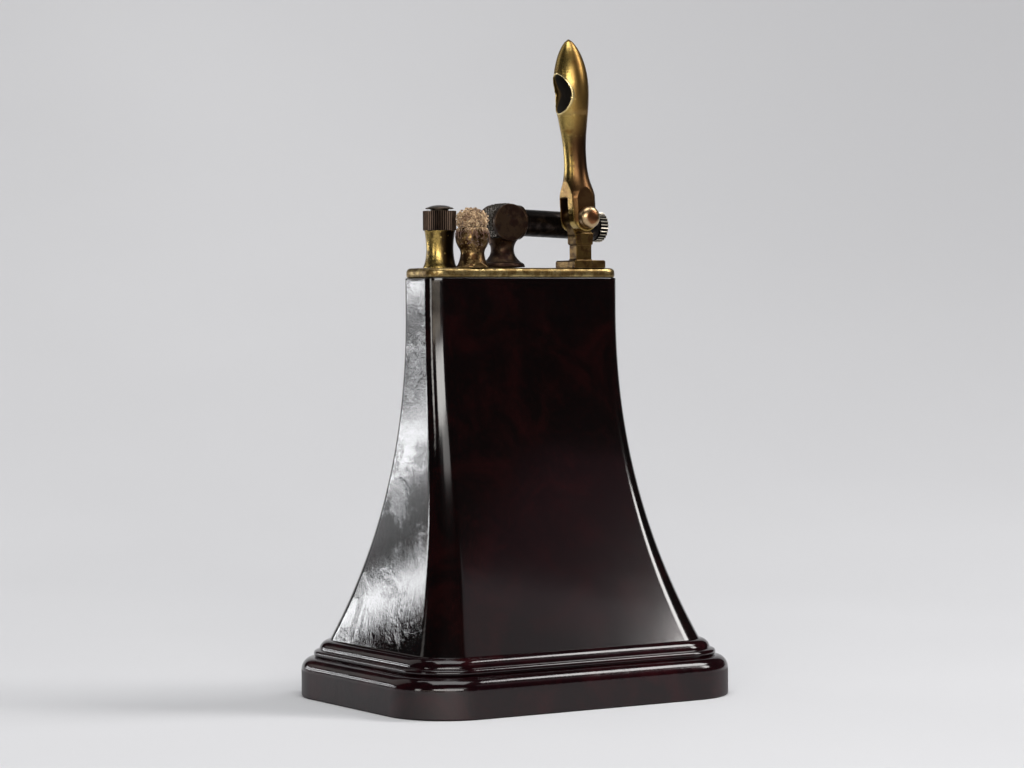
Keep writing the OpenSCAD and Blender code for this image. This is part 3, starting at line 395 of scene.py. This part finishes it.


# Where shade is given, that part's right side is darkened as painted shade
MATERIALS = {
    "body_shell": bakelite(
        "bakelite_body", (4, 1, 1), (38, 7, 7), haze=0.07, glow=0.28, ends_floor=0.12, ior=1.6),
    "base_plinth": bakelite(
        "bakelite_plinth", (15, 3, 5), (46, 10, 14), haze=0.18, glow=0.5, ends_floor=0.4, ior=1.46,
        band=0.5),
    "base_cover": plain_metal("cover_steel", (150, 150, 152), (96, 92, 88), 0.3),
    "felt_pad": felt("felt_green", (52, 84, 62), (26, 48, 36)),
    "tie_bolt": plain_metal("bolt_steel", (170, 170, 172), (120, 116, 110), 0.25),
    "top_plate": aged_metal(
        "plate_brass", (182, 160, 108), (106, 84, 48), (36, 27, 19), rough=0.3, tarnish=0.75, soot=0.58,
        cloud=0.6, edge=(0.505, 0.55), bump=0.008, specks=0.9),
    "fuel_tank": aged_metal(
        "tank_brass", (176, 146, 84), (120, 92, 48), (88, 58, 34), rough=0.4, tarnish=0.6, soot=0.4,
        cloud=0.3, edge=None),
    "tank_wadding": cotton("wadding_cotton", (232, 228, 214), (190, 184, 166), (200, 190, 160)),
    "filler_pillar": aged_metal(
        "filler_brass", (178, 152, 88), (44, 31, 18), (22, 16, 12), rough=0.26, tarnish=0.3, soot=0.38,
        cloud=0.8, edge=(0.51, 0.56), bump=0.01, specks=0.8, shade=0.97),
    "filler_seal": oiled_leather("seal_leather", (112, 74, 44), (58, 36, 22)),
    "filler_cap": rubbed_and_shaded_teeth(
        aged_metal("cap_brass", (66, 55, 49), (40, 33, 30), (16, 13, 12), rough=0.42, tarnish=0.6, soot=0.4,
                   cloud=0.9, edge=None),
        FILLER_CAP, UP, 2.92, 3.06, tip=(92, 76, 65), below=(9, 7, 6)),
    "cap_screw": aged_metal(
        "cap_screw_brass", (104, 92, 80), (52, 44, 38), (20, 17, 15), rough=0.3, tarnish=0.6, soot=0.4,
        cloud=0.8, edge=(0.51, 0.58)),
    "burner_pillar": aged_metal(
        "burner_brass", (156, 128, 84), (62, 42, 24), (26, 16, 11), rough=0.3, tarnish=0.75, soot=0.5,
        cloud=0.8, edge=(0.505, 0.56), bump=0.014, specks=0.7, shade=0.7),
    "wheel_housing": aged_metal(
        "housing_brass", (72, 56, 42), (42, 27, 22), (16, 12, 10), rough=0.4, tarnish=0.6, soot=0.45,
        cloud=0.6, edge=(0.51, 0.57), bump=0.014, specks=0.7, shade=0.3),
    "striker_wheel": aged_metal(
        "wheel_steel", (96, 90, 82), (48, 42, 38), (20, 17, 16), rough=0.4, tarnish=0.6, soot=0.6,
        cloud=1.2),
    "wheel_axle": plain_metal("axle_steel", (150, 140, 124), (86, 76, 62), 0.3),
    "flint_tube": aged_metal(
        "tube_black", (58, 50, 46), (24, 20, 19), (10, 8, 8), rough=0.38, tarnish=0.85, soot=0.4,
        cloud=0.7, edge=(0.51, 0.56), bump=0.01, specks=0.7),
    "flint": plain_metal("flint_grey", (120, 118, 116), (70, 66, 64), 0.5, metal=0.6),
    "flint_plunger": plain_metal("plunger_brass", (190, 160, 100), (140, 110, 64), 0.3),
    "flint_spring": plain_metal("spring_steel", (180, 180, 180), (130, 126, 120), 0.25),
    "flint_screw": rubbed_and_shaded_teeth(
        aged_metal("knob_brass", (70, 60, 54), (36, 30, 27), (12, 10, 9), rough=0.36, tarnish=0.6, soot=0.5,
                   cloud=0.8, edge=None),
        WHEEL + Vector(UP) * TUBE_RISE, TUBE_LINE, 2.68, 2.80, tip=(196, 188, 172), below=(10, 8, 7)),
    "pivot_post": aged_metal(
        "post_brass", (108, 85, 47), (66, 45, 23), (36, 20, 11), rough=0.36, tarnish=0.5, soot=0.38,
        cloud=0.6, edge=(0.51, 0.56), bump=0.01, specks=0.6),
    "lift_arm": sooty_arm("arm_brass"),
    "pivot_screw": screw_with_dark_centre("pivot_screw_brass"),
    "spring_washer": plain_metal("washer_steel", (150, 142, 128), (92, 82, 68), 0.3),
    "wick": wick_darker_below("wick_cotton"),
}


# Pieces
def dress(piece, node):
    piece.data.materials.clear()
    piece.data.materials.append(MATERIALS[node].material)


def stand_for(piece, node, body):
    dress(piece, node)
    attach(piece, body)
    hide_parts(node)


def mesh_object(name, points_mm, faces, sharp=None):
    """A smooth mesh with its normals outwards, and sharp edges above an angle in degrees."""
    data = bpy.data.meshes.new(name)
    data.from_pydata([Vector(p) * MM for p in points_mm], [], faces)
    data.validate()
    made = bmesh.new()
    made.from_mesh(data)
    bmesh.ops.recalc_face_normals(made, faces=made.faces)
    made.to_mesh(data)
    made.free()
    data.shade_smooth()
    if sharp:
        data.set_sharp_from_angle(angle=math.radians(sharp))
    piece = bpy.data.objects.new(name, data)
    scene.collection.objects.link(piece)
    return piece


def ring(half_len, half_wid, radius, inset, z, steps):
    """A rounded rectangle at height z; inset draws its outline inwards."""
    points = []
    for corner in range(4):
        sx = 1 if corner in (0, 3) else -1
        sy = 1 if corner < 2 else -1
        for i in range(steps + 1):
            a = math.radians(90 * corner + 90 * i / steps)
            points.append((
                sx * (half_len - radius) + (radius - inset) * math.cos(a),
                sy * (half_wid - radius) + (radius - inset) * math.sin(a), z,
            ))
    return points


def bridge(near, far, count):
    """Four-sided faces between two rings of points, given by their first indices."""
    return [(near + i, near + (i + 1) % count, far + (i + 1) % count, far + i) for i in range(count)]


def closed_tube(rings):
    count = len(rings[0])
    points = [p for one in rings for p in one]
    faces = []
    for k in range(len(rings)):
        faces += bridge(k * count, (k + 1) % len(rings) * count, count)
    return points, faces


def flare(z):
    """0 over the body's straight top, 1 at its foot."""
    top = BODY_TOP_Z - BODY_STRAIGHT
    return max(0.0, (top - z) / (top - PLINTH_TOP_Z))


def body_ring(z, inset, steps):
    along, across = flare(z) ** FLARE_POWER_LEN, flare(z) ** FLARE_POWER_WID
    return ring(
        (BODY_TOP_LEN + BODY_FLARE_LEN * along) / 2, (BODY_TOP_WID + BODY_FLARE_WID * across) / 2,
        BODY_CORNER + BODY_CORNER_FLARE * (along + across) / 2, inset, z, steps)


def make_body():
    steps, rows, edge_rows, inner_rows = 14, 110, 6, 12
    side_h = BODY_TOP_Z - BODY_EDGE - PLINTH_TOP_Z
    rings = [body_ring(PLINTH_TOP_Z + side_h * k / rows, 0, steps) for k in range(rows + 1)]
    for k in range(1, edge_rows + 1):
        a = math.radians(90 * k / edge_rows)
        z = BODY_TOP_Z - BODY_EDGE * (1 - math.sin(a))
        rings.append(body_ring(z, BODY_EDGE * (1 - math.cos(a)), steps))
    for k in range(inner_rows, -1, -1):
        z = PLINTH_TOP_Z + (BODY_TOP_Z - PLINTH_TOP_Z) * k / inner_rows
        rings.append(body_ring(z, BODY_WALL + BODY_WALL_GROWTH * flare(z) ** 2, steps))
    stand_for(mesh_object("moulded_body", *closed_tube(rings), sharp=35), "body_shell", "base")


def arc(cx, cy, r, start, end, steps):
    """Points on a circle, from one angle in degrees to another."""
    angles = [math.radians(start + (end - start) * i / steps) for i in range(steps + 1)]
    return [(cx + r * math.cos(a), cy + r * math.sin(a)) for a in angles]


def make_plinth():
    steps = 20
    bead_x = PLINTH_CORNER - STEP_ROUND - BEAD_R
    bead_z = STEP_SIDE_H + STEP_ROUND + BEAD_R
    profile = [(PLINTH_CORNER - PLINTH_EDGE, 0), (PLINTH_CORNER, PLINTH_EDGE)]
    profile += arc(PLINTH_CORNER - STEP_ROUND, STEP_SIDE_H, STEP_ROUND, 0, 84, 18)
    profile += arc(bead_x, bead_z, BEAD_R, -60, 75, 14)
    profile += arc(bead_x + BEAD_R - COVE_STEP - COVE_R, PLINTH_TOP_Z - COVE_R, COVE_R, 8, 90, 14)
    rings = []
    for x, z in profile:
        rings.append(ring(PLINTH_HALF_LEN, PLINTH_HALF_WID, PLINTH_CORNER, PLINTH_CORNER - x, z, steps))
    # The inside: a straight wall under the body, and the wider recess for the cover
    recess = PLINTH_WALL - RECESS_LIP - RECESS_GAP
    for inset, z in ((PLINTH_WALL, PLINTH_TOP_Z), (PLINTH_WALL, RECESS_H), (recess, RECESS_H), (recess, 0)):
        rings.append(ring(FOOT_HALF_LEN - inset, FOOT_HALF_WID - inset, FOOT_CORNER - inset, 0, z, steps))
    stand_for(mesh_object("moulded_plinth", *closed_tube(rings), sharp=40), "base_plinth", "base")


def worn_copy(node, body, voxel, rounds):
    """The frame's own solid, remeshed in voxels of that many millimetres, its edges softened by wear."""
    data = nodes[node].data.copy()
    data.transform(Matrix.Scale(1 / MM, 4))
    piece = bpy.data.objects.new("worn_" + node, data)
    scene.collection.objects.link(piece)
    weld = piece.modifiers.new("weld", "WELD")
    weld.merge_threshold = 0.002
    remesh = piece.modifiers.new("remesh", "REMESH")
    remesh.mode = "VOXEL"
    remesh.voxel_size = voxel
    remesh.adaptivity = 0.0
    soften = piece.modifiers.new("soften", "SMOOTH")
    soften.factor = 0.5
    soften.iterations = rounds
    made = bpy.data.meshes.new_from_object(piece.evaluated_get(bpy.context.evaluated_depsgraph_get()))
    piece.modifiers.clear()
    piece.data = made
    bpy.data.meshes.remove(data)
    made.transform(Matrix.Scale(MM, 4))
    made.shade_smooth()
    stand_for(piece, node, body)
    return piece


def soft_copy(node, name, voxel, depth, scale):
    """Felt or wadding: the frame's solid with a linty surface that lies just inside it."""
    piece = worn_copy(node, "base", voxel, 1)
    piece.name = name
    moves = []
    for v in piece.data.vertices:
        p = v.co / MM * scale
        lint = noise.noise(p) + 0.6 * noise.noise(p * 2.7) + 0.4 * noise.noise(p * 6.1)
        moves.append(v.normal * min(0.0, max(-1.0, lint * 0.5 - 0.5)) * depth * MM)
    for v, move in zip(piece.data.vertices, moves):
        v.co += move
    return piece


# The frayed wick
TUFT_LOW, TUFT_TOP = 85.1, 89.85
TUFT_CENTRE = Vector((BURNER.x, BURNER.y, (TUFT_TOP + TUFT_LOW) / 2))
TUFT_HALF = Vector((3.35, 2.45, (TUFT_TOP - TUFT_LOW) / 2))
# Reach from the burner's axis and height of a thread over its rim, clear of the closed snuffer's lip
DRAPE = ((2.45, 86.2), (2.79, 85.95), (2.97, 85.5), (3.09, 85.1), (3.16, 84.7), (3.18, 84.3), (3.16, 83.85))
BOWL_R = 3.28
MOP_FIBRES, FRINGE_THREADS, STRAY_HAIRS = 520, 90, 34
THIN_RADII, THICK_RADII = (0.04, 0.05, 0.07), (0.1, 0.13)
HAIR_RADIUS = 0.035


def add_strand(points, faces, line, radius, sides):
    """A thin tube along a line of points, tapered and closed at its ends."""
    base = len(points)
    last = len(line) - 1
    for k, p in enumerate(line):
        ahead = (line[min(k + 1, last)] - line[max(k - 1, 0)]).normalized()
        side = ahead.cross(Vector((0.3, 0.2, 0.93))).normalized()
        other = ahead.cross(side)
        width = radius * (1.0 if 0 < k < last else 0.45)
        for s in range(sides):
            a = 2 * math.pi * s / sides
            points.append(p + side * width * math.cos(a) + other * width * math.sin(a))
    for k in range(last):
        faces += bridge(base + k * sides, base + (k + 1) * sides, sides)
    faces.append(tuple(base + s for s in range(sides))[::-1])
    faces.append(tuple(base + last * sides + s for s in range(sides)))


def sphere_point(a, b):
    return Vector((math.sin(a) * math.cos(b), math.sin(a) * math.sin(b), math.cos(a)))


def in_tuft(direction, share):
    """A point of the tuft's oval, at a share of the way from its centre to its surface."""
    return TUFT_CENTRE + Vector([d * h for d, h in zip(direction, TUFT_HALF)]) * share


def keep_in_tuft(p, limit):
    q = p - TUFT_CENTRE
    reach = math.sqrt((q.x / TUFT_HALF.x) ** 2 + (q.y / TUFT_HALF.y) ** 2 + (q.z / TUFT_HALF.z) ** 2)
    return TUFT_CENTRE + q * (limit / reach) if reach > limit else p


def around_burner(reach, turn, z):
    return Vector((BURNER.x + reach * math.cos(turn), BURNER.y + reach * math.sin(turn), z))


def add_core(points, faces):
    """The wick below the tuft, and the tuft's lumpy middle."""
    for heights, radius, sides in (
        ((59.6, 59.8, 70, 79.6, 79.8), 0.75, 8),
        ((79.85, 80.0, 82, 84.6, 84.9), 1.5, 12),
    ):
        add_strand(points, faces, [Vector((BURNER.x, BURNER.y, z)) for z in heights], radius, sides)
    rows, cols = 24, 40
    base = len(points)
    for i in range(rows + 1):
        for j in range(cols):
            d = sphere_point(math.pi * i / rows, 2 * math.pi * j / cols)
            lump = 0.70 + 0.22 * noise.noise(d * 2.1 + Vector((4, 1, 7))) + 0.12 * noise.noise(d * 5.3)
            points.append(in_tuft(d, lump))
    for i in range(rows):
        faces += bridge(base + i * cols, base + (i + 1) * cols, cols)


def add_mop(points, faces, rng):
    """Curled fibres all over the tuft."""
    def random_vector():
        return Vector((rng.gauss(0, 1), rng.gauss(0, 1), rng.gauss(0, 1)))

    for _ in range(MOP_FIBRES):
        a = math.acos(rng.uniform(-0.75, 1.0))
        d = sphere_point(a, rng.uniform(0, 2 * math.pi))
        line = [in_tuft(d, rng.uniform(0.66, 0.9))]
        across = d.cross(random_vector()).normalized()
        heading = (across + d * rng.uniform(-0.1, 0.5)).normalized()
        curl = random_vector().normalized() * rng.uniform(0.25, 0.8)
        step = rng.uniform(0.16, 0.34)
        for _ in range(9):
            inwards = (TUFT_CENTRE - line[-1]).normalized() * 0.1
            heading = (heading + heading.cross(curl) + inwards).normalized()
            line.append(keep_in_tuft(line[-1] + heading * step, rng.uniform(0.93, 1.0)))
        add_strand(points, faces, line, rng.choice(THIN_RADII + THICK_RADII), 5)


def add_fringe(points, faces, rng):
    """Threads that hang over the burner's rim."""
    for _ in range(FRINGE_THREADS):
        turn = rng.uniform(-math.pi, math.pi)
        line = []
        for reach, z in DRAPE[:rng.randint(4, 7)]:
            line.append(around_burner(reach, turn, z - rng.uniform(0, 0.1)))
            turn += rng.gauss(0.0, 0.07)
        add_strand(points, faces, line, rng.choice(THIN_RADII), 5)


def add_strays(points, faces, rng):
    """Single hairs around the burner's bowl."""
    for n in range(STRAY_HAIRS):
        turn = rng.uniform(-2.9, 0.6)
        z = rng.uniform(83.2, 84.8)
        line = []
        for k in range(8):
            line.append(around_burner(BOWL_R + 0.12 * math.sin(k * 1.7 + n) - 0.02 * k, turn, z))
            turn += rng.gauss(0.0, 0.07)
            z += rng.choice((-1, 1)) * rng.uniform(0.02, 0.1) - 0.05
        add_strand(points, faces, line, HAIR_RADIUS, 4)


def make_wick():
    rng = random.Random(11)
    points, faces = [], []
    add_core(points, faces)
    add_mop(points, faces, rng)
    add_fringe(points, faces, rng)
    add_strays(points, faces, rng)
    stand_for(mesh_object("frayed_wick", points, faces), "wick", "base")


def make_felt(coarser):
    """The felt under the cover, with a linty surface."""
    felt_sheet = soft_copy("felt_pad", "felt_sheet", 0.3 * coarser, 0.12, 1.1)


def make_pieces():
    """The frame's own meshes dressed, then the pieces that stand for some of them."""
    for name, piece in nodes.items():
        dress(piece, name)
        piece.data.shade_smooth()
        piece.data.set_sharp_from_angle(angle=math.radians(32))
    make_body()
    make_plinth()
    coarser = 1.0
    for node, body, voxel, rounds in (
        ("top_plate", "base", 0.16, 2),
        ("lift_arm", "arm", 0.12, 2),
        ("pivot_screw", "arm", 0.08, 2),
        ("pivot_post", "base", 0.09, 3),
        ("wheel_housing", "base", 0.09, 3),
        ("burner_pillar", "base", 0.09, 3),
        ("filler_pillar", "base", 0.09, 3),
        ("flint_tube", "base", 0.1, 3),
        ("cap_screw", "cap", 0.08, 2),
    ):
        worn_copy(node, body, voxel * coarser, rounds)
    make_wick()
    make_felt(coarser)
    soft_copy("tank_wadding", "fluffed_wadding", 0.5 * coarser, 0.5, 0.5)


# Floor and lights, in metres
def make_stage():
    """A pale sweep under and behind the object, turned square to the camera."""
    half_wid, flat_end, bend, top = 0.46, 0.2, 1.0, 2.4
    profile = [(-0.5, 0.0), (flat_end, 0.0)]
    profile += [(flat_end + x, bend + z) for x, z in arc(0, 0, bend, -90, 0, 24)[1:]]
    profile.append((flat_end + bend, top))
    points, faces = [], []
    for depth, height in profile:
        for s in (-half_wid, half_wid):
            p = AHEAD * depth + SIDE * s
            points.append((p.x, p.y, height))
    for k in range(len(profile) - 1):
        faces.append((2 * k, 2 * k + 1, 2 * k + 3, 2 * k + 2))
    data = bpy.data.meshes.new("sweep")
    data.from_pydata(points, [], faces)
    data.shade_smooth()
    sweep = bpy.data.objects.new("sweep", data)
    scene.collection.objects.link(sweep)
    # Painted shade: the paper is darkened at the far right, where less light falls
    paper = Recipe("paper_sweep")
    depth = paper.along((0, 0, 0), AHEAD)
    across = paper.along((0, 0, 0), SIDE)
    tone = paper.mix(paper.ramp(paper.noise(0.004, 2), 0.3, 0.7), (212, 213, 216), (216, 217, 220))
    far_right_shade = paper.times(paper.ramp(across, -180, 260), paper.ramp(depth, 100, 700))
    paper.set(base=paper.mix(far_right_shade, tone, (192, 193, 196)), rough=0.9)
    data.materials.append(paper.material)


def soft_light(name, place, target, width, height, watts, tint=(1, 1, 1)):
    data = bpy.data.lights.new(name, "AREA")
    data.shape = "RECTANGLE"
    data.size = width
    data.size_y = height
    data.energy = watts
    data.color = tint
    light = bpy.data.objects.new(name, data)
    scene.collection.objects.link(light)
    place, target = Vector(place), Vector(target)
    turn = (place - target).to_track_quat("Z", "Y").to_matrix().to_4x4()
    light.matrix_world = Matrix.Translation(place) @ turn
    light.visible_camera = False


def around(angle, distance, height):
    a = math.radians(angle)
    return distance * math.cos(a), distance * math.sin(a), height


def light_room():
    rise = Vector(UP)
    soft_light("overhead", rise * 1.15 - AHEAD * 0.28, -AHEAD * 0.10, 0.9, 0.6, 6.6)
    backdrop = AHEAD * 1.2 - SIDE * 0.1 + rise * 0.5
    soft_light("backdrop_light", AHEAD * 0.2 - SIDE * 0.3 + rise * 1.5, backdrop, 1.0, 0.4, 2.6)
    # Each light's angle, distance, height, the height that it is aimed at, its size, power and tint
    for name, angle, distance, height, aim, wide, tall, watts, tint in (
        ("right_window", -22, 0.95, 1.12, 0.06, 0.44, 0.44, 7.6, (1.0, 0.98, 0.97)),
        ("right_lamp", -34, 1.1, 0.63, 0.10, 0.26, 0.34, 3.6, (1.0, 0.98, 0.96)),
        ("right_wall", -50, 1.6, 1.30, 0.05, 0.90, 0.40, 0.34, (1.0, 0.90, 0.94)),
        ("right_glow", -46, 1.6, 0.86, 0.05, 0.60, 0.50, 0.12, (1.0, 0.36, 0.50)),
        ("back_wall", 120, 1.2, 0.85, 0.0, 0.8, 0.9, 1.2, (1.0, 0.96, 0.92)),
        ("left_lamp", 186, 1.2, 0.19, 0.08, 0.20, 0.28, 1.0, (1.0, 0.98, 0.94)),
        # The window behind the camera, which the body's corner and the swellings of the metal mirror
        ("front_window", 238, 1.3, 0.335, 0.06, 1.20, 0.27, 9.5, (1.0, 0.98, 0.95)),
        ("front_window_top", 250, 1.3, 0.59, 0.06, 0.90, 0.22, 1.4, (1.0, 0.98, 0.95)),
        ("table_glow", 222, 1.3, 0.12, 0.12, 1.3, 0.06, 0.70, (1.0, 0.88, 0.72)),
    ):
        soft_light(name, around(angle, distance, height), (0, 0, aim), wide, tall, watts, tint)
    # A window behind on the left, in bands of unequal strength that the side of the body mirrors
    for band, (height, tall, watts) in enumerate((
        (0.064, 0.030, 0.05), (0.094, 0.022, 0.40), (0.128, 0.040, 0.06), (0.157, 0.026, 0.014),
        (0.192, 0.032, 0.46),
    )):
        place = around(120, 0.9, height)
        soft_light(f"back_window_{band}", place, (0, 0, height), 0.50, tall, watts, (0.97, 0.98, 1.0))
    world = bpy.data.worlds.new("room")
    scene.world = world
    world.use_nodes = True
    background = world.node_tree.nodes["Background"]
    background.inputs[0].default_value = (0.9, 0.95, 1.0, 1)
    background.inputs[1].default_value = 0.025
    scene.view_settings.view_transform = "Standard"


make_pieces()
make_stage()
light_room()
